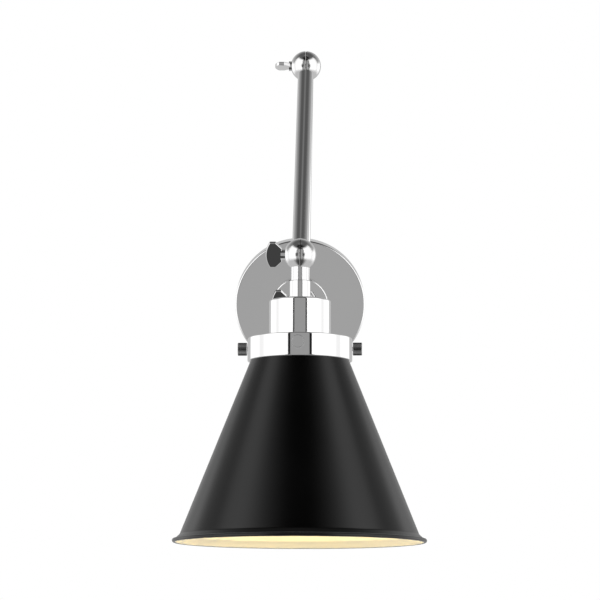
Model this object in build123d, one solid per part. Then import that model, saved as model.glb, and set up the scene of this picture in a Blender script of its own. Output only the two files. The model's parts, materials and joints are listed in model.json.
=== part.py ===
from build123d import *
import math
import os

# A swing arm wall sconce, every piece as its own solid. Lengths are in millimetres and angles in degrees.
# The origin is the centre of the wall plate's back face, on the wall. +Z is up, -Y points out of the wall
# into the room, and +X is to the right for someone who faces the wall.

# Wall side, with distances off the wall
plate_diameter = 129.0
plate_depth = 25.4
sheet = 1.2  # wall of the spun plate, cup and boss
plate_edge_radius = 1.8
boss_radius = 28.0
boss_height = 8.0
boss_neck_radius = 9.0
boss_neck_length = 8.8  # behind the plate's front
spindle_radius = 6.0
spindle_start = 4.5
hub_radius = 13.0
hub_height = 3.5
bracket_width = 18.0
bracket_thickness = 2.0
tab_length = 14.0
box_screw_spacing = 88.9  # the two ears of an octagon junction box
box_screw_hole_radius = 2.4
side_screw_radius = 2.0
side_screw_height = 8.0  # off the wall
ground_screw_below = 24.0
boss_nut_flats = 26.0
spindle_nut_flats = 17.0

# Knuckles and arms
ball_diameter = 28.4
seam_gap = 0.8  # between the two halves of a knuckle
seat_from_centre = 13.2  # the flat under the knob
seat_washer = 1.2
pivot_radius = 2.5
pivot_end = 11.0  # the screw's tip, past the ball's centre
chamber_radius = 9.0  # room for the leads round the pivot
spigot_end = 32.0  # inside a tube, from the ball's centre
tube_diameter = 14.5
tube_wall = 1.5
arm_length = 238.0  # between the ball centres of one arm
lower_arm_lean = 13.9  # out of the vertical, into the room
upper_arm_drop = 47.5  # out of the vertical, down into the room
rear_pivot_sideways = 1.8  # to the right of the plate and the head
elbow_sideways = 5.0
rear_pivot_reach = 55.0  # off the wall
rear_pivot_rise = 7.4  # above the plate's centre
knob_length = 25.2
knob_width = 14.0
knob_thickness = 3.4
knob_from_centre = 15.0  # the plate's near edge, from the ball's centre
head_knob_from_centre = 16.2  # this screw has a longer neck
knob_neck_radius = 4.6
knob_turn = 26.0  # out of upright, its front face turned down
elbow_knob_turn = 77.0  # this knob lies nearly flat
wire_radius = 1.1
wire_bore = 3.0

# Head, with distances along its axis from the head ball's centre
head_tilt = 15.6  # the shade's mouth turned out of the wall's vertical, into the room
stem_radius = 8.0
collar_radius = 9.25
collar_start = 23.8
cup_start = 41.2
cup_radius = 27.1
nipple_radius = 5.0
nipple_end = 49.0
cup_nut_flats = 15.0
ring_start = 75.1
ring_end = 94.9
ring_radius = 45.9
ring_wall = 1.5
web_hole_radius = 24.0
gallery_screws = 4
gallery_screw_rise = 0.8  # from the ring's middle towards the ball
gallery_twist = 2.0  # of the gallery screws about the head's axis
gallery_screw_radius = 2.0
gallery_head_radius = 5.7
gallery_head_end = 54.5  # from the head's axis
knurl_ridges = 26
shade_wall = 1.0
shade_neck_start = 78.5
shade_top_radius = 43.3  # outside, at the ring's lower edge
shade_half_angle = 21.8
shade_lip_start = 246.5
shade_rim_radius = 110.5
shade_bead_radius = 1.7
shade_bead_centre = 251.7
holder_radius = 20.0
holder_start = 46.7
holder_end = 84.0
holder_floor = 52.0
shell_radius = 13.9
shell_wall = 0.4
bulb_base_radius = 13.2
bulb_neck = 84.5
bulb_radius = 30.0
bulb_end = 164.0

# Fits
running_gap = 0.05  # radial, between a pivot and its hole
thread_gap = 0.02  # radial, between a screw and its own thread
body_gap = 0.35  # between curved faces of two pieces that move apart

ball_radius = ball_diameter / 2
cope_radius = ball_radius + body_gap
tube_radius = tube_diameter / 2
tube_bore = tube_radius - tube_wall
boss_front = plate_depth + boss_height
hub_start = boss_front + 0.3
hub_front = hub_start + hub_height
pieces = {}


def direction(lean, sideways):
    """Unit vector that leans out of +Z towards -Y, with a share of its length sideways."""
    flat = math.sqrt(1 - sideways**2)
    return Vector(sideways, -math.sin(math.radians(lean)) * flat, math.cos(math.radians(lean)) * flat)


def frame(origin, z_dir, x_dir=(1, 0, 0)):
    return Plane(origin=origin, x_dir=x_dir, z_dir=z_dir)


lower_arm_up = direction(lower_arm_lean, (elbow_sideways - rear_pivot_sideways) / arm_length)
upper_arm_up = direction(-upper_arm_drop, elbow_sideways / arm_length)
rear_pivot = Vector(rear_pivot_sideways, -rear_pivot_reach, rear_pivot_rise)
elbow_pivot = rear_pivot + lower_arm_up * arm_length
head_pivot = elbow_pivot - upper_arm_up * arm_length
wall = frame((0, 0, 0), (0, -1, 0))
lower_arm = frame(rear_pivot, lower_arm_up)
upper_arm = frame(head_pivot, upper_arm_up)
head = frame(head_pivot, direction(180 - head_tilt, 0))


def turned(points, rounding=0):
    """Solid turned about Z from an outline of (radius, height) points."""
    if rounding == 0:
        outline = Polyline(*points, close=True)
    else:
        outline = FilletPolyline(*points, radius=rounding, close=True)
    return revolve(Plane.XZ * make_face(outline), Axis.Z)


def rod(radius, start, end):
    return Pos(0, 0, start) * Cylinder(radius, end - start, align=(Align.CENTER, Align.CENTER, Align.MIN))


def ring(outer, inner, start, end):
    return turned([(inner, start), (outer, start), (outer, end), (inner, end)])


def nut(across_flats, bore, start, end):
    """Hexagon nut along Z with its corners turned down at 30 degrees."""
    hexagon = RegularPolygon(radius=across_flats / math.sqrt(3), side_count=6)
    blank = Pos(0, 0, start) * extrude(hexagon, end - start)
    flat = across_flats / 2 + 0.2
    beyond = 0.6 * across_flats
    drop = (beyond - flat) * math.tan(math.radians(30))
    outline = [(bore, start), (flat, start), (beyond, start + drop), (beyond, end - drop), (flat, end), (bore, end)]
    return blank & turned(outline)


def lead_pair(start, end):
    """Two leads side by side along Z."""
    apart = 1.3 * wire_radius
    leads = [Pos(side * apart, 0, 0) * rod(wire_radius, start, end) for side in (-1, 1)]
    return Compound(children=leads)


# ---- knuckles: two half balls on a screw along X, the knob on the left ----


def across(side):
    """Frame at a ball's centre with its Z along the pivot, out of one half."""
    return frame((0, 0, 0), (side, 0, 0), (0, 1, 0))


def arc_turned(points, arc):
    """Solid turned about Z from a row of (radius, height) points, closed by an arc through a middle point."""
    curve = ThreePointArc(points[-1], arc, points[0])
    return revolve(Plane.XZ * make_face([*Polyline(*points).edges(), *curve.edges()]), Axis.Z)


def ball_room(side):
    """The other half ball's room in a tube or stem, with a gap for its travel."""
    seam = seam_gap / 2
    edge = (math.sqrt(cope_radius**2 - seam**2), seam)
    middle = (cope_radius * math.sqrt(0.5), -cope_radius * math.sqrt(0.5))
    return across(side) * arc_turned([(0, -cope_radius), (0, seam), edge], middle)


def half_ball(side, toward, rods, bore_end):
    """Half ball at the origin with its stem: rods are (radius, start, end) along the stem."""
    seam = seam_gap / 2
    hole = pivot_radius + running_gap
    core = pivot_radius + 2
    deep = 0.55 * ball_radius
    rim = (math.sqrt(ball_radius**2 - seam**2), seam)
    pocket = [(hole, seam), (core, seam), (core, deep), (chamber_radius, deep), (chamber_radius, seam), rim]
    if side < 0:
        seat_edge = math.sqrt(ball_radius**2 - seat_from_centre**2)
        far_side = [(seat_edge, seat_from_centre), (hole, seat_from_centre)]
    else:
        far_side = [(0, ball_radius), (0, pivot_end + 0.5), (hole, pivot_end + 0.5)]
    middle = (ball_radius * math.sqrt(0.5), ball_radius * math.sqrt(0.5))
    solid = across(side) * arc_turned(far_side + pocket, middle)
    stem = frame((0, 0, 0), toward)
    for radius, start, end in rods:
        solid += stem * rod(radius, start, end) - ball_room(side)
    return solid - stem * rod(wire_bore, chamber_radius - 2, bore_end)


def friction_disc(side):
    """Thin disc in the seam, lying on one of the halves."""
    face = side * seam_gap / 2
    disc = ring(ball_radius - 0.8, chamber_radius, 0, 0.75 * seam_gap)
    return Pos(face, 0, 0) * (across(-side) * disc)


def thumb_screw(turn, from_centre):
    """Oval flat knob, neck and shank in one, the axis along X through the origin."""
    tall = knob_length / 2
    wide = knob_width / 2
    flat_from, flat_to, near_edge = -0.5 * wide, 0.23 * wide, 0.54 * tall
    free_end = ThreePointArc((flat_from, -tall), (-wide, 0), (flat_from, tall))
    near_side = Polyline((flat_from, tall), (flat_to, tall), (wide, near_edge), (wide, -near_edge),
                         (flat_to, -tall), (flat_from, -tall))
    outline = Pos(-from_centre - wide, 0, 0) * make_face([*free_end.edges(), *near_side.edges()])
    plate = extrude(Plane.XZ * outline, knob_thickness / 2, both=True)
    plate = fillet(plate.edges(), 0.7)
    neck = rod(knob_neck_radius, seat_from_centre + seat_washer + 0.05, from_centre + 1)
    shank = rod(pivot_radius, -pivot_end, from_centre)
    return Rot(turn, 0, 0) * (plate + across(-1) * neck + across(-1) * shank)


def knuckle_fittings(name, pivot, disc_side, turn, from_centre):
    seat_end = seat_from_centre + seat_washer
    washer = ring(knob_neck_radius, pivot_radius + running_gap, seat_from_centre, seat_end)
    pieces[f"{name}_friction_disc"] = Pos(pivot) * friction_disc(disc_side)
    pieces[f"{name}_seat_washer"] = Pos(pivot) * (across(-1) * washer)
    pieces[f"{name}_thumb_screw"] = Pos(pivot) * thumb_screw(turn, from_centre)


# ---- wall side ----


def upright_pair(radius, start, end):
    """Two rods on one vertical line through the plate's axis, at the height of the side screws."""
    foot = (0, -side_screw_height, 0)
    return [frame(foot, (0, 0, way)) * rod(radius, start, end) for way in (1, -1)]


def make_wall_plate():
    radius = plate_diameter / 2
    bore = boss_neck_radius + thread_gap
    points = [(bore, plate_depth), (radius, plate_depth), (radius, 0), (radius - sheet, 0)]
    points += [(radius - sheet, plate_depth - sheet), (bore, plate_depth - sheet)]
    dish = wall * turned(points, [0, plate_edge_radius, 0, 0, plate_edge_radius - sheet, 0])
    for hole in upright_pair(side_screw_radius + running_gap, radius - 4, radius + 4):
        dish -= hole
    pieces["wall_plate"] = dish


def make_bracket():
    """Flat bar on the junction box with a tab bent out at each end for the plate's side screws."""
    reach = plate_diameter / 2 - sheet - 1
    inner = reach - bracket_thickness
    points = [(0, -reach), (0, reach), (-tab_length, reach), (-tab_length, inner), (-bracket_thickness, inner)]
    points += [(-bracket_thickness, -inner), (-tab_length, -inner), (-tab_length, -reach)]
    outline = FilletPolyline(*points, radius=[2.5, 2.5, 0.5, 0.5, 0.5, 0.5, 0.5, 0.5], close=True)
    bar = extrude(Plane.YZ * make_face(outline), bracket_width / 2, both=True)
    box_holes = [(side * box_screw_spacing / 2, box_screw_hole_radius) for side in (-1, 1)]
    for height, radius in [(0, 6.5), (-ground_screw_below, 2 + thread_gap)] + box_holes:
        bar -= Pos(0, 0, height) * (wall * rod(radius, -1, bracket_thickness + 1))
    for hole in upright_pair(side_screw_radius + thread_gap, inner - 2, reach + 2):
        bar -= hole
    pieces["mounting_bracket"] = bar


def make_plate_screws():
    seat = plate_diameter / 2 + 0.05
    shanks = upright_pair(side_screw_radius, seat - 9, seat + 0.5)
    heads = upright_pair(3.5, seat, seat + 2.2)
    pieces["plate_side_screws"] = Compound(children=[a + b for a, b in zip(shanks, heads)])
    top = bracket_thickness + 2.4
    ground = rod(2, 0.2, top) + rod(3.8, bracket_thickness, top) - Pos(0, 0, top) * Box(8, 0.9, 2)
    pieces["ground_screw"] = Pos(0, 0, -ground_screw_below) * (wall * ground)


def make_boss():
    neck_end = plate_depth - boss_neck_length
    bore = spindle_radius + running_gap
    cap = boss_front - 1.5 * sheet
    points = [(bore, neck_end), (boss_neck_radius, neck_end), (boss_neck_radius, cap)]
    points += [(boss_radius - sheet, cap), (boss_radius - sheet, plate_depth), (boss_radius, plate_depth)]
    points += [(boss_radius, boss_front), (bore, boss_front)]
    pieces["centre_boss"] = wall * turned(points, [0, 0, 0.5, 0.5, 0, 0, 1.5, 0])
    inside = plate_depth - sheet
    pieces["boss_ring_nut"] = wall * nut(boss_nut_flats, boss_neck_radius + thread_gap, inside - 4, inside)


def make_swivel():
    """Hollow spindle with a disc in front of the boss, and what keeps it in: all turn about the plate's axis."""
    points = [(wire_bore, spindle_start), (spindle_radius, spindle_start), (spindle_radius, hub_start)]
    points += [(hub_radius, hub_start), (hub_radius, hub_front), (wire_bore, hub_front)]
    pieces["swivel_hub"] = wall * turned(points, [0, 0.4, 0, 0.5, 1.2, 0])
    neck_end = plate_depth - boss_neck_length
    bore = spindle_radius + thread_gap
    pieces["swivel_spring_washer"] = wall * ring(9.4, bore, neck_end - 1.2, neck_end - 0.2)
    pieces["swivel_locknut"] = wall * nut(spindle_nut_flats, bore, neck_end - 6.2, neck_end - 1.2)
    pieces["supply_leads"] = wall * lead_pair(0.5, hub_front - 1)
    to_hub = Vector(0, -hub_front, 0) - rear_pivot
    stem = [(7.0, chamber_radius + 0.5, to_hub.length + 8)]
    wall_half = Pos(rear_pivot) * half_ball(-1, to_hub.normalized(), stem, to_hub.length + 8)
    behind_hub = Pos(0, 50 - hub_front, 0) * Box(100, 100, 100)
    pieces["rear_ball_wall_half"] = wall_half - behind_hub


# ---- arms ----


def make_arm(name, start_frame, start_side, end_side, start_name, end_name):
    """Tube, its two half balls and the leads inside; a half ball's spigot sits in each end of the tube."""
    along = Vector(*start_frame.z_dir)
    start = start_frame.origin
    end = start + along * arm_length
    tube = start_frame * ring(tube_radius, tube_bore, chamber_radius, arm_length - chamber_radius)
    for centre, side in ((start, start_side), (end, end_side)):
        tube = tube - Pos(centre) * Sphere(ball_radius + thread_gap) - Pos(centre) * ball_room(side)
    pieces[f"{name}_tube"] = tube
    spigot = [(tube_bore - thread_gap, chamber_radius + 0.5, spigot_end)]
    pieces[start_name] = Pos(start) * half_ball(start_side, along, spigot, spigot_end + 1)
    pieces[end_name] = Pos(end) * half_ball(end_side, -along, spigot, spigot_end + 1)
    pieces[f"{name}_leads"] = start_frame * lead_pair(chamber_radius + 6, arm_length - chamber_radius - 6)


def make_arms():
    make_arm("lower_arm", lower_arm, 1, -1, "rear_ball_arm_half", "elbow_ball_lower_half")
    make_arm("upper_arm", upper_arm, 1, 1, "head_ball_arm_half", "elbow_ball_upper_half")
    knuckle_fittings("rear", rear_pivot, 1, knob_turn, knob_from_centre)
    knuckle_fittings("elbow", elbow_pivot, 1, elbow_knob_turn, knob_from_centre)
    knuckle_fittings("head", head_pivot, 1, knob_turn, head_knob_from_centre)


# ---- head, turned about the head's own axis ----


def make_neck():
    stem = [(stem_radius, chamber_radius + 0.5, collar_start), (nipple_radius, collar_start, nipple_end)]
    down = Vector(*head.z_dir)
    pieces["head_ball_stem_half"] = Pos(head_pivot) * half_ball(-1, down, stem, nipple_end + 1)
    bore = nipple_radius + thread_gap
    points = [(bore, collar_start), (collar_radius, collar_start), (collar_radius, cup_start), (bore, cup_start)]
    pieces["head_collar"] = head * turned(points, [0, 0.7, 0.7, 0])
    inner = cup_radius - sheet
    points = [(bore, cup_start), (cup_radius, cup_start), (cup_radius, ring_start), (inner, ring_start)]
    points += [(inner, cup_start + sheet), (bore, cup_start + sheet)]
    pieces["socket_cup"] = head * turned(points, [0, 1.6, 0, 0, 0.6, 0])
    pieces["cup_locknut"] = head * nut(cup_nut_flats, bore, cup_start + sheet, cup_start + sheet + 4)
    pieces["holder_leads"] = head * lead_pair(chamber_radius + 6, nipple_end)


def around_ring():
    """A frame for each gallery screw, its Z pointing out through the ring's wall."""
    level = (ring_start + ring_end) / 2 - gallery_screw_rise
    for number in range(gallery_screws):
        turn = 360 * number / gallery_screws + gallery_twist
        yield head * Pos(0, 0, level) * Rot(0, 0, turn) * Rot(0, 90, 0)


def make_gallery():
    inner = ring_radius - ring_wall
    points = [(web_hole_radius, ring_start), (ring_radius, ring_start), (ring_radius, ring_end)]
    points += [(inner, ring_end), (inner, ring_start + ring_wall), (web_hole_radius, ring_start + ring_wall)]
    gallery = head * turned(points, [0, 0.8, 0.4, 0.4, 0.6, 0])
    for place in around_ring():
        gallery -= place * rod(gallery_screw_radius + running_gap, inner - 3, ring_radius + 3)
    pieces["gallery_ring"] = gallery
    nut_start = ring_start + ring_wall
    points = [(holder_radius + thread_gap, nut_start), (29, nut_start), (29, nut_start + 3.4)]
    points += [(holder_radius + thread_gap, nut_start + 3.4)]
    pieces["holder_ring_nut"] = head * turned(points, [0, 0.6, 1.0, 0])


def knurled_head(start, end):
    """Round head with ridges along its side and its edges broken."""
    ridges = []
    for step in range(2 * knurl_ridges):
        angle = math.pi * step / knurl_ridges
        radius = gallery_head_radius if step % 2 == 0 else 0.93 * gallery_head_radius
        ridges.append((radius * math.cos(angle), radius * math.sin(angle)))
    blank = Pos(0, 0, start) * extrude(make_face(Polyline(*ridges, close=True)), end - start)
    broken = 0.5
    edge = gallery_head_radius - broken
    outline = [(0, start), (edge, start), (gallery_head_radius, start + broken), (gallery_head_radius, end - broken)]
    return blank & turned(outline + [(edge, end), (0, end)])


def make_gallery_screws():
    names = ["right", "front", "left", "back"]
    seat = ring_radius + 0.4
    for name, place in zip(names, around_ring()):
        shank = rod(gallery_screw_radius, shade_top_radius + 0.05, seat + 1)
        pieces[f"gallery_screw_{name}"] = place * (shank + knurled_head(seat, gallery_head_end))


def make_shade():
    """Spun cone with a straight neck inside the ring and a flared lip rolled over a wire."""
    lean = math.tan(math.radians(shade_half_angle))
    across = shade_wall / math.cos(math.radians(shade_half_angle))
    lip = shade_top_radius + (shade_lip_start - ring_end) * lean
    bead = shade_rim_radius - shade_bead_radius
    bead_top = shade_bead_centre - 0.4 * shade_bead_radius
    points = [(shade_top_radius, shade_neck_start), (shade_top_radius, ring_end), (lip, shade_lip_start)]
    points += [(bead, bead_top), (bead, bead_top + shade_wall), (lip - 0.8 * across, shade_lip_start + 0.6)]
    points += [(shade_top_radius - shade_wall, ring_end + 0.3), (shade_top_radius - shade_wall, shade_neck_start)]
    shell = turned(points, [0, 2, 3, 0, 0, 2, 1.5, 0])
    pieces["cone_shade"] = head * (shell + Pos(0, 0, shade_bead_centre) * Torus(bead, shade_bead_radius))


def make_lamp_holder():
    bore = nipple_radius + thread_gap
    inner = shell_radius + thread_gap
    points = [(bore, holder_start), (holder_radius, holder_start), (holder_radius, holder_end)]
    points += [(inner, holder_end), (inner, holder_floor), (bore, holder_floor)]
    pieces["lamp_holder"] = head * turned(points, [0, 2.5, 1.2, 0.5, 0, 0])
    shell = ring(shell_radius, shell_radius - shell_wall, holder_floor + 3, holder_end - 3)
    pieces["lamp_screw_shell"] = head * shell
    contact = rod(7, holder_floor, holder_floor + 1) + rod(3, holder_floor + 0.5, holder_floor + 2)
    pieces["lamp_centre_contact"] = head * contact


def bulb_outline(radius, neck_radius, end):
    """Pear shape turned about Z: a round head, and a neck that runs off it at a tangent."""
    middle = end - radius
    rise = middle - bulb_neck
    spread = math.hypot(neck_radius, rise)
    from_axis = math.atan2(neck_radius, rise) + math.acos(radius / spread)
    touch = (radius * math.sin(from_axis), middle - radius * math.cos(from_axis))
    side = Line((neck_radius, bulb_neck), touch)
    head_arc = ThreePointArc(touch, (radius * math.cos(0.4), middle + radius * math.sin(0.4)), (0, end))
    back = Polyline((0, end), (0, bulb_neck), (neck_radius, bulb_neck))
    return revolve(Plane.XZ * make_face([*side.edges(), *head_arc.edges(), *back.edges()]), Axis.Z)


def make_bulb():
    tip = holder_floor + 2.2
    points = [(0, tip), (3.6, tip), (4.6, tip + 1.8), (10.5, tip + 4.5), (bulb_base_radius, tip + 5.5)]
    points += [(bulb_base_radius, bulb_neck), (0, bulb_neck)]
    pieces["bulb_base"] = head * turned(points)
    wall_thickness = 0.8
    outside = bulb_outline(bulb_radius, 13.0, bulb_end)
    hollow = bulb_outline(bulb_radius - wall_thickness, 13.0 - wall_thickness, bulb_end - wall_thickness)
    pieces["bulb_glass"] = head * (outside - hollow)


make_wall_plate()
make_bracket()
make_plate_screws()
make_boss()
make_swivel()
make_arms()
make_neck()
make_gallery()
make_gallery_screws()
make_shade()
make_lamp_holder()
make_bulb()

os.makedirs("parts", exist_ok=True)
for piece_name, piece in pieces.items():
    piece.label = piece_name
    export_step(piece, f"parts/{piece_name}.step")
for place_name, place in (("rear", rear_pivot), ("elbow", elbow_pivot), ("head", head_pivot)):
    print(place_name, "pivot", [round(value, 3) for value in place])
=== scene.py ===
import json
import math

import bmesh
import bpy
from mathutils import Matrix, Vector

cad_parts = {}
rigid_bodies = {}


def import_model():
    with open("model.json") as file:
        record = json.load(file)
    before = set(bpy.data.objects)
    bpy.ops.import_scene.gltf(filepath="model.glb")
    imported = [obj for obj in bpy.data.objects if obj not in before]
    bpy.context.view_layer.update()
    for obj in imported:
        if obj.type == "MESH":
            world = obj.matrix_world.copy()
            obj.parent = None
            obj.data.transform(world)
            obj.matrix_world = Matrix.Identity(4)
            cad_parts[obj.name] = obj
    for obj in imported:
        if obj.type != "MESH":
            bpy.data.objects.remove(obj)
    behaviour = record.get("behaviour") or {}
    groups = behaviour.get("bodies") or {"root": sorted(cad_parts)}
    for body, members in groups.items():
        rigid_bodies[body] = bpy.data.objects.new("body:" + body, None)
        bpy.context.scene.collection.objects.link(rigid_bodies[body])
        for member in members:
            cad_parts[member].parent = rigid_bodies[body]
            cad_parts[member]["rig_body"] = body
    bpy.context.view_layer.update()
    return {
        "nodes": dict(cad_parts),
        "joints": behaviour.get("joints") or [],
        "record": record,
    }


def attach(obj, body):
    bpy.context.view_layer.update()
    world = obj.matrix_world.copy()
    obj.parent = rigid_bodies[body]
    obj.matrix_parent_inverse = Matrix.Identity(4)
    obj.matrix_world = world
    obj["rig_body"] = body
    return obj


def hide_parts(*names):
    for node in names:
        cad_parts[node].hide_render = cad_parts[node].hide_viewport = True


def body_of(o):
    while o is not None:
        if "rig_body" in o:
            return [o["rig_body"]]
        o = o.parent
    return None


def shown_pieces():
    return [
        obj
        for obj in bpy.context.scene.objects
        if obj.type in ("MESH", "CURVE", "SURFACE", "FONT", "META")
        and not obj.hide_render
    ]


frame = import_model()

# A polished nickel swing arm wall sconce with a black cone shade. The frame is the CAD's: metres, +Z up,
# -Y out of the wall into the room, +X to the right for someone who faces the wall. Turned pieces are made
# here from their outlines in millimetres, on the same axes as the CAD nodes that they stand for.

MM = 0.001
joint_at = {joint["name"]: Vector(joint["pos_m"]) for joint in frame["joints"]}
rear_pivot = joint_at["rear_knuckle"]
elbow_pivot = joint_at["elbow_knuckle"]
head_pivot = joint_at["head_knuckle"]

# Outlines, in millimetres along each piece's axis, and angles in degrees
plate_radius, plate_depth, sheet = 64.5, 25.4, 1.2
side_screw_level, side_screw_hole = 8.0, 2.05
boss_radius, boss_neck_radius, boss_neck_reach, boss_front = 28.0, 9.0, 8.8, 33.4
spindle_radius, hub_radius, hub_start, hub_front = 6.0, 13.0, 33.7, 37.2
ball_radius, cope_radius, seam_gap = 14.2, 14.55, 0.8
tube_radius, tube_bore, tube_start = 7.25, 5.75, 9.0
nipple_bore, collar_radius, collar_start, cup_start, cup_radius = 5.02, 9.25, 23.8, 41.2, 27.1
ring_start, ring_end, ring_radius, ring_wall, web_hole = 75.1, 94.9, 45.9, 1.5, 24.0
screw_level, screw_hole, gallery_twist = 84.2, 2.05, 2.0
shade_wall, shade_neck_start, shade_top_radius, shade_half_angle = 1.0, 78.5, 43.3, 21.8
shade_lip_start, shade_rim_radius, bead_radius, bead_centre = 246.5, 110.5, 1.7, 251.7
screw_head_radius, shank_radius, screw_seat, screw_end = 5.7, 2.0, 46.3, 54.5
knurl_ridges, knurl_share, knurl_floor, knurl_chamfer = 26, 0.07, 5.3, 0.5
close_gap, running_gap = 0.02, 0.05
head_tilt = 15.6

# Fineness of the meshes: degrees along a rounded corner, length of the short face beside it, and sharpest
# bend that is shaded smooth
arc_step, support_length, crease = 11, 0.35, 32

# Brightness of the studio's white tents, and of the lamp
tent_white, lamp_strength = 1.25, 15.0

WALL_AXIS = Matrix.Rotation(math.radians(90), 4, "X")
HEAD_AXIS = Matrix.Translation(head_pivot) @ Matrix.Rotation(math.radians(180 - head_tilt), 4, "X")


# ---- mesh making ----


def rounded(points, radii, closed):
    """Outline with each corner replaced by an arc of its own radius, and a point beyond each arc's ends."""
    count = len(points)
    line = []
    for index, here in enumerate(points):
        here = Vector(here)
        radius = radii[index]
        ends = not closed and index in (0, count - 1)
        if radius == 0 or ends:
            line.append(here)
            continue
        before = Vector(points[index - 1]) - here
        after = Vector(points[(index + 1) % count]) - here
        half = before.angle(after) / 2
        reach = radius / math.tan(half)
        support = min(support_length, 0.2 * min(before.length - reach, after.length - reach))
        start, end = before.normalized() * reach, after.normalized() * reach
        middle = (before.normalized() + after.normalized()).normalized() * (radius / math.sin(half))
        steps = max(4, round(math.degrees(math.pi - 2 * half) / arc_step))
        turn = (start - middle).angle_signed(end - middle)
        line.append(here + before.normalized() * (reach + support))
        for step in range(steps + 1):
            spoke = (start - middle).copy()
            spoke.rotate(Matrix.Rotation(-turn * step / steps, 2))
            line.append(here + middle + spoke)
        line.append(here + after.normalized() * (reach + support))
    return line


def new_piece(name, mesh, place):
    mesh.transform(place)
    piece = bpy.data.objects.new(name, mesh)
    bpy.context.scene.collection.objects.link(piece)
    return piece


def lathe(name, points, radii=None, place=Matrix.Identity(4), segments=128, ridges=0):
    """Closed mesh turned about the local Z from (radius, height) points in millimetres.

    An outline that starts and ends on the axis closes there; any other outline is a closed loop.
    With ridges, everything wider than knurl_floor gets that many grooves, each sunk by knurl_share of the
    radius."""
    closed = points[0][0] > 0 or points[-1][0] > 0
    outline = rounded(points, radii or [0] * len(points), closed)
    body = bmesh.new()
    rings = []
    for radius, height in outline:
        if radius < 1e-6:
            rings.append([body.verts.new((0, 0, height * MM))])
            continue
        spokes = []
        for step in range(segments):
            angle = 2 * math.pi * step / segments
            sunk = 0.5 - 0.5 * math.cos(ridges * angle) if ridges and radius > knurl_floor else 0
            reach = radius * (1 - knurl_share * sunk) * MM
            spokes.append(body.verts.new((reach * math.cos(angle), reach * math.sin(angle), height * MM)))
        rings.append(spokes)
    pairs = list(zip(rings, rings[1:] + rings[:1])) if closed else list(zip(rings, rings[1:]))
    for lower, upper in pairs:
        for step in range(segments):
            onward = (step + 1) % segments
            if len(lower) == 1:
                body.faces.new((lower[0], upper[step], upper[onward]))
            elif len(upper) == 1:
                body.faces.new((lower[step], upper[0], lower[onward]))
            else:
                body.faces.new((lower[step], upper[step], upper[onward], lower[onward]))
    return finished(name, body, place)


def finished(name, body, place):
    """Turns a bmesh into a piece with outward faces, smooth but for its real edges."""
    bmesh.ops.recalc_face_normals(body, faces=body.faces)
    mesh = bpy.data.meshes.new(name)
    body.to_mesh(mesh)
    body.free()
    piece = new_piece(name, mesh, place)
    smooth(mesh)
    return piece


def smooth(mesh):
    mesh.shade_smooth()
    mesh.set_sharp_from_angle(angle=math.radians(crease))


def cut(piece, tools, keep=False):
    """Takes the tools out of a piece for good, or keeps only what is inside them, and removes them."""
    for tool in tools:
        modifier = piece.modifiers.new("cut", "BOOLEAN")
        modifier.operation = "INTERSECT" if keep else "DIFFERENCE"
        modifier.solver = "EXACT"
        modifier.object = tool
    bpy.context.view_layer.update()
    shaped = bpy.data.meshes.new_from_object(piece.evaluated_get(bpy.context.evaluated_depsgraph_get()))
    piece.modifiers.clear()
    piece.data = shaped
    shaped.name = piece.name
    for tool in tools:
        bpy.data.objects.remove(tool)
    smooth(shaped)
    return piece


def peg(radius, start, end, place):
    return lathe("tool", [(0, start), (radius, start), (radius, end), (0, end)], place=place, segments=48)


def along(origin, target):
    """Frame at origin with its Z towards target and its X in the world's XZ plane."""
    z = (target - origin).normalized()
    x = (Vector((1, 0, 0)) - z * z.x).normalized()
    y = z.cross(x)
    rotation = Matrix((x, y, z)).transposed().to_4x4()
    return Matrix.Translation(origin) @ rotation


# ---- material making ----


class Shader:
    """Small helper that adds linked nodes to one node tree."""

    def __init__(self, tree):
        self.tree = tree

    def add(self, kind, inputs=None, **settings):
        node = self.tree.nodes.new(kind)
        for key, value in settings.items():
            setattr(node, key, value)
        for key, value in (inputs or {}).items():
            self.feed(node.inputs[key], value)
        return node

    def feed(self, socket, value):
        if isinstance(value, bpy.types.NodeSocket):
            self.tree.links.new(value, socket)
        else:
            socket.default_value = value

    def math(self, operation, *values):
        node = self.add("ShaderNodeMath", operation=operation)
        for socket, value in zip(node.inputs, values):
            self.feed(socket, value)
        return node.outputs[0]

    def ramp(self, value, start, end, low=0.0, high=1.0):
        """Smooth step from low at start to high at end."""
        node = self.add("ShaderNodeMapRange", interpolation_type="SMOOTHSTEP")
        ends = {"Value": value, "From Min": start, "From Max": end, "To Min": low, "To Max": high}
        for key, number in ends.items():
            self.feed(node.inputs[key], number)
        return node.outputs[0]

    def noise(self, vector, scale, detail=3.0, roughness=0.5):
        node = self.add("ShaderNodeTexNoise", {"Vector": vector, "Scale": scale, "Detail": detail,
                                               "Roughness": roughness})
        return node.outputs["Fac"]

    def mix(self, factor, first, second):
        node = self.add("ShaderNodeMix", data_type="RGBA")
        self.feed(node.inputs[0], factor)
        self.feed(node.inputs[6], first)
        self.feed(node.inputs[7], second)
        return node.outputs[2]


def material(name, colour, fixed):
    """New material with its Principled shader; fixed holds the sockets that are even all over."""
    made = bpy.data.materials.new(name)
    made.use_nodes = True
    made.diffuse_color = (*colour, 1)
    nodes = Shader(made.node_tree)
    surface = made.node_tree.nodes["Principled BSDF"]
    for key, value in fixed.items():
        surface.inputs[key].default_value = value
    place = nodes.add("ShaderNodeTexCoord").outputs["Object"]
    return made, nodes, surface, place


def grain(nodes, surface, height, strength, distance):
    bump = nodes.add("ShaderNodeBump", {"Height": height, "Strength": strength, "Distance": distance})
    nodes.feed(surface.inputs["Normal"], bump.outputs[0])


def tinted(nodes, factor, dark, light):
    return nodes.mix(factor, (*dark, 1), (*light, 1))


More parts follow.
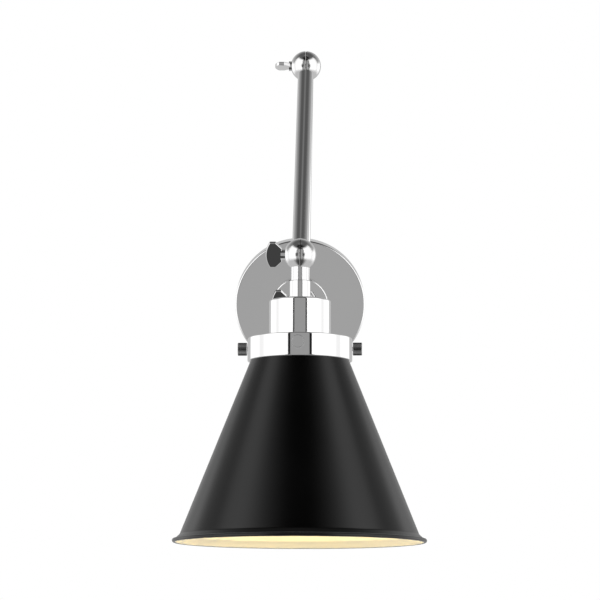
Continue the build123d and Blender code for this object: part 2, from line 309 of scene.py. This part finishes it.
def polished_nickel():
    """Mirror polish with a faint warm and cool drift, buffing lines and slightly duller edges."""
    made, nodes, surface, place = material("polished_nickel", (0.8, 0.8, 0.8), {"Metallic": 1.0})
    drift = nodes.noise(place, 14.0)
    nodes.feed(surface.inputs["Base Color"], tinted(nodes, drift, (0.855, 0.855, 0.86), (0.905, 0.9, 0.895)))
    stretched = nodes.add("ShaderNodeMapping", {"Vector": place, "Scale": (900.0, 900.0, 60.0)}).outputs[0]
    lines = nodes.noise(stretched, 1.0, 2.0)
    edge = nodes.add("ShaderNodeNewGeometry").outputs["Pointiness"]
    worn = nodes.ramp(edge, 0.52, 0.62, 0.0, 0.05)
    haze = nodes.ramp(nodes.math("MULTIPLY", drift, lines), 0.15, 0.4, 0.035, 0.075)
    nodes.feed(surface.inputs["Roughness"], nodes.math("ADD", haze, worn))
    grain(nodes, surface, nodes.noise(place, 55.0, 1.0), 0.02, 0.0004)
    return made


def knurl_nickel_painted_shade():
    """The same plating on a knurl, painted darker all over: painted shade for its fine grooves, which trap
    light.
    """
    made, nodes, surface, place = material("knurl_nickel_painted_shade", (0.4, 0.4, 0.4), {"Metallic": 1.0})
    drift = nodes.noise(place, 160.0)
    # Base colour far below the polished nickel's: painted shade standing in for the shade held in the
    # knurl's grooves
    nodes.feed(surface.inputs["Base Color"], tinted(nodes, drift, (0.22, 0.22, 0.22), (0.4, 0.4, 0.4)))
    nodes.feed(surface.inputs["Roughness"], nodes.ramp(drift, 0.3, 0.7, 0.16, 0.24))
    grain(nodes, surface, nodes.noise(place, 900.0, 2.0), 0.05, 0.0002)
    return made


def ball_nickel():
    """Nickel on the knuckle balls, buffed by hand and so a little softer than the turned pieces."""
    made, nodes, surface, place = material("buffed_nickel", (0.8, 0.8, 0.8), {"Metallic": 1.0})
    drift = nodes.noise(place, 40.0)
    nodes.feed(surface.inputs["Base Color"], tinted(nodes, drift, (0.83, 0.83, 0.835), (0.885, 0.88, 0.875)))
    nodes.feed(surface.inputs["Roughness"], nodes.ramp(drift, 0.3, 0.7, 0.13, 0.19))
    grain(nodes, surface, nodes.noise(place, 60.0, 1.0), 0.03, 0.0004)
    return made


def satin_black():
    """Sprayed black paint: deep, with a soft sheen, a fine orange peel and faint handling marks."""
    made, nodes, surface, place = material("satin_black_paint", (0.01, 0.01, 0.01), {"IOR": 1.5})
    drift = nodes.noise(place, 9.0)
    nodes.feed(surface.inputs["Base Color"],
               tinted(nodes, drift, (0.0001, 0.0001, 0.0001), (0.0004, 0.0004, 0.0004)))
    peel = nodes.noise(place, 1500.0, 2.0)
    nodes.feed(surface.inputs["Roughness"], nodes.ramp(drift, 0.3, 0.7, 0.23, 0.27))
    grain(nodes, surface, peel, 0.05, 0.0002)
    return made


def cream_enamel():
    """The shade's inside: warm white enamel, a little speckled."""
    made, nodes, surface, place = material("cream_enamel", (1.0, 0.95, 0.8), {"IOR": 1.45})
    drift = nodes.noise(place, 30.0, 4.0)
    nodes.feed(surface.inputs["Base Color"], tinted(nodes, drift, (0.94, 0.88, 0.7), (0.97, 0.92, 0.76)))
    nodes.feed(surface.inputs["Roughness"], nodes.ramp(drift, 0.3, 0.7, 0.4, 0.5))
    grain(nodes, surface, nodes.noise(place, 1200.0, 2.0), 0.05, 0.0002)
    return made


def zinc_plate():
    made, nodes, surface, place = material("zinc_plate", (0.6, 0.6, 0.6), {"Metallic": 1.0})
    spangle = nodes.noise(place, 220.0, 4.0)
    nodes.feed(surface.inputs["Base Color"], tinted(nodes, spangle, (0.5, 0.51, 0.54), (0.7, 0.7, 0.68)))
    nodes.feed(surface.inputs["Roughness"], nodes.ramp(spangle, 0.2, 0.8, 0.28, 0.42))
    grain(nodes, surface, spangle, 0.08, 0.0002)
    return made


def brass():
    made, nodes, surface, place = material("plain_brass", (0.78, 0.62, 0.32), {"Metallic": 1.0})
    tarnish = nodes.noise(place, 90.0, 4.0)
    nodes.feed(surface.inputs["Base Color"], tinted(nodes, tarnish, (0.62, 0.45, 0.2), (0.84, 0.68, 0.38)))
    nodes.feed(surface.inputs["Roughness"], nodes.ramp(tarnish, 0.2, 0.8, 0.2, 0.34))
    grain(nodes, surface, tarnish, 0.05, 0.0002)
    return made


def dull(name, dark, light, scale, rough):
    """Matt material with a fine mottled surface, such as pressed fibre or lead cover."""
    made, nodes, surface, place = material(name, light, {"IOR": 1.45})
    mottle = nodes.noise(place, scale, 5.0, 0.6)
    nodes.feed(surface.inputs["Base Color"], tinted(nodes, mottle, dark, light))
    nodes.feed(surface.inputs["Roughness"], nodes.ramp(mottle, 0.2, 0.8, rough - 0.08, rough + 0.08))
    grain(nodes, surface, mottle, 0.15, 0.0002)
    return made


def porcelain():
    made, nodes, surface, place = material("glazed_porcelain", (0.9, 0.89, 0.86),
                                           {"IOR": 1.5, "Coat Weight": 0.6})
    speck = nodes.noise(place, 260.0, 5.0)
    nodes.feed(surface.inputs["Base Color"], tinted(nodes, speck, (0.84, 0.82, 0.77), (0.92, 0.91, 0.88)))
    nodes.feed(surface.inputs["Roughness"], nodes.ramp(speck, 0.2, 0.8, 0.12, 0.2))
    grain(nodes, surface, nodes.noise(place, 60.0, 2.0), 0.05, 0.0005)
    return made


def frosted_glass():
    """Lit frosted lamp: evenly bright and warm, with a slow drift in its colour."""
    made, nodes, surface, place = material("frosted_lamp_glass", (1.0, 0.93, 0.8),
                                           {"Emission Strength": lamp_strength, "IOR": 1.5})
    frost = nodes.noise(place, 700.0, 3.0)
    glow = nodes.noise(place, 25.0, 2.0)
    nodes.feed(surface.inputs["Base Color"], tinted(nodes, frost, (0.86, 0.82, 0.74), (0.95, 0.93, 0.88)))
    nodes.feed(surface.inputs["Emission Color"], tinted(nodes, glow, (1.0, 0.8, 0.46), (1.0, 0.86, 0.54)))
    nodes.feed(surface.inputs["Roughness"], nodes.ramp(frost, 0.2, 0.8, 0.4, 0.55))
    grain(nodes, surface, frost, 0.1, 0.0002)
    return made


nickel = polished_nickel()
buffed = ball_nickel()
knurled = knurl_nickel_painted_shade()
black_paint = satin_black()
cream = cream_enamel()
slot_material = {
    "nickel": nickel,
    "steel": zinc_plate(),
    "brass": brass(),
    "fibre": dull("pressed_fibre", (0.02, 0.018, 0.016), (0.06, 0.055, 0.05), 900.0, 0.75),
    "lead_cover": dull("lead_cover", (0.012, 0.012, 0.012), (0.03, 0.03, 0.03), 400.0, 0.55),
    "shade_paint": black_paint,
    "porcelain": porcelain(),
    "bulb_glass": frosted_glass(),
}


# ---- the CAD nodes, each with its slot's material ----

slot_of = {part["node"]: part["material_slot"] for part in frame["record"]["subparts"]}
for node_name, node in frame["nodes"].items():
    node.data.materials.clear()
    node.data.materials.append(buffed if "_ball_" in node_name else slot_material[slot_of[node_name]])


def stands_for(piece, node_name, body, *materials):
    """Puts a made piece in place of a CAD node, with its body and its materials, which default to the node's
    slot material.
    """
    slot = slot_of[node_name]
    piece.data.materials.clear()
    for made in materials or (slot_material[slot],):
        piece.data.materials.append(made)
    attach(piece, body)
    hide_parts(node_name)
    return piece


# ---- wall side ----


def make_wall_plate():
    bore = boss_neck_radius + close_gap
    inner = plate_radius - sheet
    points = [(bore, plate_depth), (plate_radius, plate_depth), (plate_radius, 0), (inner, 0),
              (inner, plate_depth - sheet), (bore, plate_depth - sheet)]
    plate = lathe("wall_plate_spun", points, [0, 1.8, 0.25, 0.25, 0.6, 0], WALL_AXIS, segments=192)
    through = 4
    holes = []
    for way in (1, -1):
        up = Matrix.Rotation(math.radians(90 - 90 * way), 4, "X")
        place = Matrix.Translation((0, -side_screw_level * MM, 0)) @ up
        holes.append(peg(side_screw_hole, plate_radius - through, plate_radius + through, place))
    stands_for(cut(plate, holes), "wall_plate", "wall_base")


def make_boss():
    neck_end = plate_depth - boss_neck_reach
    cap = boss_front - 1.5 * sheet
    bore = spindle_radius + running_gap
    inner = boss_radius - sheet
    points = [(bore, neck_end), (boss_neck_radius, neck_end), (boss_neck_radius, cap), (inner, cap),
              (inner, plate_depth), (boss_radius, plate_depth), (boss_radius, boss_front),
              (bore, boss_front)]
    boss = lathe("centre_boss_turned", points, [0, 0, 0.5, 0.5, 0, 0, 1.5, 0], WALL_AXIS, segments=160)
    stands_for(boss, "centre_boss", "wall_base")


def make_hub():
    start, bore = 4.5, 3.0
    points = [(bore, start), (spindle_radius, start), (spindle_radius, hub_start), (hub_radius, hub_start),
              (hub_radius, hub_front), (bore, hub_front)]
    hub = lathe("swivel_hub_turned", points, [0, 0.4, 0, 0.5, 1.2, 0], WALL_AXIS)
    stands_for(hub, "swivel_hub", "arm_swivel")


# ---- arms ----


def sphere_tool(centre, radius, half_side=0):
    """A ball to cut with; with a side, the half of it on that side of the seam.

    It stands askew, since an exact cut can lose the whole tube when the facets of both line up."""
    steps = 64
    points = [(radius * math.sin(math.pi * step / steps), -radius * math.cos(math.pi * step / steps))
              for step in range(steps + 1)]
    askew = Matrix.Translation(centre) @ Matrix.Rotation(math.radians(37), 4, (0.3, 0.5, 0.8))
    ball = lathe("tool", [(0, -radius), *points[1:-1], (0, radius)], place=askew)
    if half_side:
        seam = seam_gap / 2 * MM
        thick, wide = 0.04, 0.08
        block = bmesh.new()
        bmesh.ops.create_cube(block, size=1.0)
        shift = Matrix.Translation(centre + Vector((half_side * (thick / 2 - seam), 0, 0)))
        half = finished("half", block, shift @ Matrix.Diagonal((thick, wide, wide, 1)))
        cut(ball, [half], keep=True)
    return ball


def make_tube(name, node_name, body, start, start_side, end, end_side):
    """Tube from one knuckle to the next, coped to each ball, with room for the ball's other half to turn."""
    length = (end - start).length / MM
    points = [(tube_bore, tube_start), (tube_radius, tube_start), (tube_radius, length - tube_start),
              (tube_bore, length - tube_start)]
    tube = lathe(name, points, place=along(start, end), segments=96)
    tools = []
    for centre, side in ((start, start_side), (end, end_side)):
        tools.append(sphere_tool(centre, ball_radius + close_gap))
        tools.append(sphere_tool(centre, cope_radius, -side))
    stands_for(cut(tube, tools), node_name, body)


# ---- head ----


def make_collar_and_cup():
    points = [(nipple_bore, collar_start), (collar_radius, collar_start), (collar_radius, cup_start),
              (nipple_bore, cup_start)]
    collar = lathe("head_collar_turned", points, [0, 0.7, 0.7, 0], HEAD_AXIS, segments=96)
    stands_for(collar, "head_collar", "head")
    inner = cup_radius - sheet
    points = [(nipple_bore, cup_start), (cup_radius, cup_start), (cup_radius, ring_start),
              (inner, ring_start), (inner, cup_start + sheet), (nipple_bore, cup_start + sheet)]
    cup = lathe("socket_cup_spun", points, [0, 1.6, 0, 0, 0.6, 0], HEAD_AXIS, segments=160)
    stands_for(cup, "socket_cup", "head")


def around_ring(quarter):
    """Frame with its Z out along one gallery screw."""
    level = Matrix.Translation((0, 0, screw_level * MM))
    turn = Matrix.Rotation(math.radians(90 * quarter + gallery_twist), 4, "Z")
    return HEAD_AXIS @ level @ turn @ Matrix.Rotation(math.radians(90), 4, "Y")


def make_gallery():
    inner = ring_radius - ring_wall
    web_end = ring_start + ring_wall
    points = [(web_hole, ring_start), (ring_radius, ring_start), (ring_radius, ring_end), (inner, ring_end),
              (inner, web_end), (web_hole, web_end)]
    ring = lathe("gallery_ring_spun", points, [0, 0.8, 0.4, 0.4, 0.6, 0], HEAD_AXIS, segments=192)
    through = 3
    holes = [peg(screw_hole, inner - through, ring_radius + through, around_ring(quarter))
             for quarter in range(4)]
    stands_for(cut(ring, holes), "gallery_ring", "head")


def make_gallery_screws():
    """Four screws with knurled heads; the ridged faces get the knurl material, darkened as painted groove
    shade.
    """
    shank_start = shade_top_radius + running_gap
    edge = screw_head_radius - knurl_chamfer
    points = [(0, shank_start), (shank_radius, shank_start), (shank_radius, screw_seat), (edge, screw_seat),
              (screw_head_radius, screw_seat + knurl_chamfer),
              (screw_head_radius, screw_end - knurl_chamfer), (edge, screw_end), (0, screw_end)]
    flat_end, outer_share = 0.85, 0.9
    for quarter, side in enumerate(("right", "front", "left", "back")):
        name = f"gallery_screw_{side}"
        place = around_ring(quarter)
        screw = lathe(f"{name}_knurled", points, [0, 0.2, 0, 0.15, 0.2, 0.2, 0.15, 0], place,
                      segments=8 * knurl_ridges, ridges=knurl_ridges)
        # Second material on the ridged faces is the knurl material, whose darkness is painted groove shade
        stands_for(screw, name, name, nickel, knurled)
        to_local = place.inverted()
        for face in screw.data.polygons:
            centre = to_local @ face.center
            sideways = abs((to_local.to_3x3() @ face.normal).z) < flat_end
            if sideways and math.hypot(centre.x, centre.y) > outer_share * edge * MM:
                face.material_index = 1


def make_shade():
    """One closed spun shell: black outside and over the rolled bead, cream inside."""
    lean = math.tan(math.radians(shade_half_angle))
    across = shade_wall / math.cos(math.radians(shade_half_angle))
    lip = shade_top_radius + (shade_lip_start - ring_end) * lean
    roll = shade_rim_radius - bead_radius
    inside = shade_top_radius - shade_wall
    outside = [(shade_top_radius, shade_neck_start), (shade_top_radius, ring_end), (lip, shade_lip_start)]
    start, stop = math.radians(-115), math.radians(165)
    steps = 22
    bead = [(roll + bead_radius * math.cos(start + (stop - start) * step / steps),
             bead_centre + bead_radius * math.sin(start + (stop - start) * step / steps))
            for step in range(steps + 1)]
    inner_lip = (lip - 0.8 * across, shade_lip_start + 0.6)
    inner_shoulder = (inside, ring_end + 0.3)
    within = [inner_lip, inner_shoulder, (inside, shade_neck_start)]
    points = outside + bead + within
    radii = [0.25, 2, 3] + [0] * len(bead) + [2, 1.5, 0.25]
    shade = lathe("cone_shade_spun", points, radii, HEAD_AXIS, segments=224)
    stands_for(shade, "cone_shade", "head", black_paint, cream)
    to_local = HEAD_AXIS.inverted()
    for face in shade.data.polygons:
        normal = to_local.to_3x3() @ face.normal
        centre = to_local @ face.center
        inward = normal.x * centre.x + normal.y * centre.y < 0
        beyond_roll = math.hypot(centre.x, centre.y) > (roll - 0.6 * bead_radius) * MM
        if inward and not beyond_roll:
            face.material_index = 1


make_wall_plate()
make_boss()
make_hub()
make_tube("lower_arm_tube_drawn", "lower_arm_tube", "lower_arm", rear_pivot, 1, elbow_pivot, -1)
make_tube("upper_arm_tube_drawn", "upper_arm_tube", "upper_arm", head_pivot, 1, elbow_pivot, 1)
make_collar_and_cup()
make_gallery()
make_gallery_screws()
make_shade()


# ---- studio ----


def make_floor():
    """Pale round floor, well below the sconce. In mirror reflections the world's floor tones replace it."""
    floor_level, floor_radius = -2.2, 2.4
    disc = bmesh.new()
    bmesh.ops.create_circle(disc, cap_ends=True, segments=96, radius=floor_radius)
    floor = finished("floor", disc, Matrix.Translation((0, -0.25, floor_level)))
    made, nodes, surface, place = material("pale_floor", (0.85, 0.85, 0.85), {"IOR": 1.45})
    cloud = nodes.noise(place, 3.0)
    nodes.feed(surface.inputs["Base Color"], tinted(nodes, cloud, (0.8, 0.8, 0.79), (0.86, 0.86, 0.855)))
    nodes.feed(surface.inputs["Roughness"], nodes.ramp(cloud, 0.3, 0.7, 0.6, 0.75))
    floor.data.materials.append(made)
    floor.visible_glossy = False


def make_world():
    """What the surfaces reflect. The camera itself sees plain white.

    White tents at both sides, a little dimmer at a fold; a grey strip to the front between two dark lines;
    a grey wall behind; a dim ceiling, and floor tones that are darkest to the front."""
    world = bpy.data.worlds.new("studio")
    bpy.context.scene.world = world
    world.use_nodes = True
    nodes = Shader(world.node_tree)
    direction = nodes.add("ShaderNodeTexCoord").outputs["Generated"]
    split = nodes.add("ShaderNodeSeparateXYZ", {"Vector": direction}).outputs
    side = nodes.math("ABSOLUTE", split["X"])
    # Degrees: azimuth from the room's front at 0 round either side to the wall at 180, and elevation
    azimuth = nodes.math("DEGREES", nodes.math("ARCTAN2", side, nodes.math("MULTIPLY", split["Y"], -1.0)))
    elevation = nodes.math("DEGREES", nodes.math("ARCSINE", split["Z"]))

    def blend(factor, first, second):
        node = nodes.add("ShaderNodeMix")
        for socket, value in zip((node.inputs[0], node.inputs[2], node.inputs[3]), (factor, first, second)):
            nodes.feed(socket, value)
        return node.outputs[0]

    fold_azimuth, fold_white = 96.0, 1.02
    from_fold = nodes.math("ABSOLUTE", nodes.math("SUBTRACT", azimuth, fold_azimuth))
    tent = nodes.ramp(from_fold, 2.0, 15.0, fold_white, tent_white)

    strip_low, strip_high = 0.4, 0.34
    strip_end = nodes.ramp(azimuth, 27.0, 29.0)
    front = blend(strip_end, nodes.ramp(elevation, -10.0, 24.0, strip_low, strip_high), tent)

    line_azimuth, line_level, line_tone = 25.3, 6.0, 0.03
    wide_line, thin_line = 7.5, 2.0
    from_level = nodes.math("ABSOLUTE", nodes.math("SUBTRACT", elevation, line_level))
    line_width = nodes.ramp(from_level, 8.0, 13.0, wide_line, thin_line)
    from_line = nodes.math("ABSOLUTE", nodes.math("SUBTRACT", azimuth, line_azimuth))
    edge_of_line = nodes.math("SUBTRACT", from_line, line_width)
    front = nodes.math("MULTIPLY", front, nodes.ramp(edge_of_line, 0.0, 1.4, line_tone, 1.0))

    back_high, back_middle, back_top = 0.42, 0.55, 0.17
    back_sides = nodes.ramp(elevation, 5.0, 18.0, tent_white, back_high)
    behind = blend(nodes.ramp(azimuth, 133.0, 146.0), back_sides, back_middle)
    behind = blend(nodes.ramp(elevation, 12.0, 53.0), behind, back_top)
    around = blend(nodes.ramp(azimuth, 100.0, 106.0), front, behind)

    front_fade, side_fade = 38.0, 43.0
    front_ceiling, side_ceiling, zenith = 0.004, 0.1, 0.19
    fade_at = blend(nodes.ramp(azimuth, 22.0, 30.0), front_fade, side_fade)
    above = nodes.ramp(nodes.math("SUBTRACT", elevation, fade_at), 0.0, 15.0)
    overhead = blend(nodes.ramp(azimuth, 30.0, 75.0), front_ceiling, side_ceiling)
    overhead = blend(nodes.ramp(elevation, 76.0, 87.0), overhead, zenith)
    around = blend(above, around, overhead)

    front_floor, side_floor = 0.055, 0.58
    under = blend(nodes.ramp(azimuth, 22.0, 62.0), front_floor, side_floor)
    around = blend(nodes.ramp(elevation, -36.0, -15.0, 1.0, 0.0), around, under)
    seen = nodes.add("ShaderNodeLightPath").outputs["Is Camera Ray"]
    background = world.node_tree.nodes["Background"]
    nodes.feed(background.inputs["Color"], nodes.mix(seen, around, (1.0, 1.0, 1.0, 1.0)))


def make_camera():
    """At the viewer's height a little over the shade, 2.4 m out, looking slightly down."""
    data = bpy.data.cameras.new("camera")
    data.sensor_width, data.lens = 36.0, 146.195
    camera = bpy.data.objects.new("camera", data)
    bpy.context.scene.collection.objects.link(camera)
    yaw, pitch, roll = (math.radians(angle) for angle in (0.0229, 6.9967, 0.1275))
    level = Matrix.Rotation(yaw, 4, "Z") @ Matrix.Rotation(math.pi / 2 - pitch, 4, "X")
    look = level @ Matrix.Rotation(roll, 4, "Z")
    camera.matrix_world = Matrix.Translation((0.00083, -2.42585, 0.29964)) @ look
    data.clip_start, data.clip_end = 0.05, 50.0
    bpy.context.scene.camera = camera


# Only the wall body's pieces show in mirror reflections, so that the wall plate keeps an even grey
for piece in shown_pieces():
    if body_of(piece)[0] != "wall_base":
        piece.visible_glossy = False
make_floor()
make_world()
make_camera()
bpy.context.scene.view_settings.view_transform = "Standard"
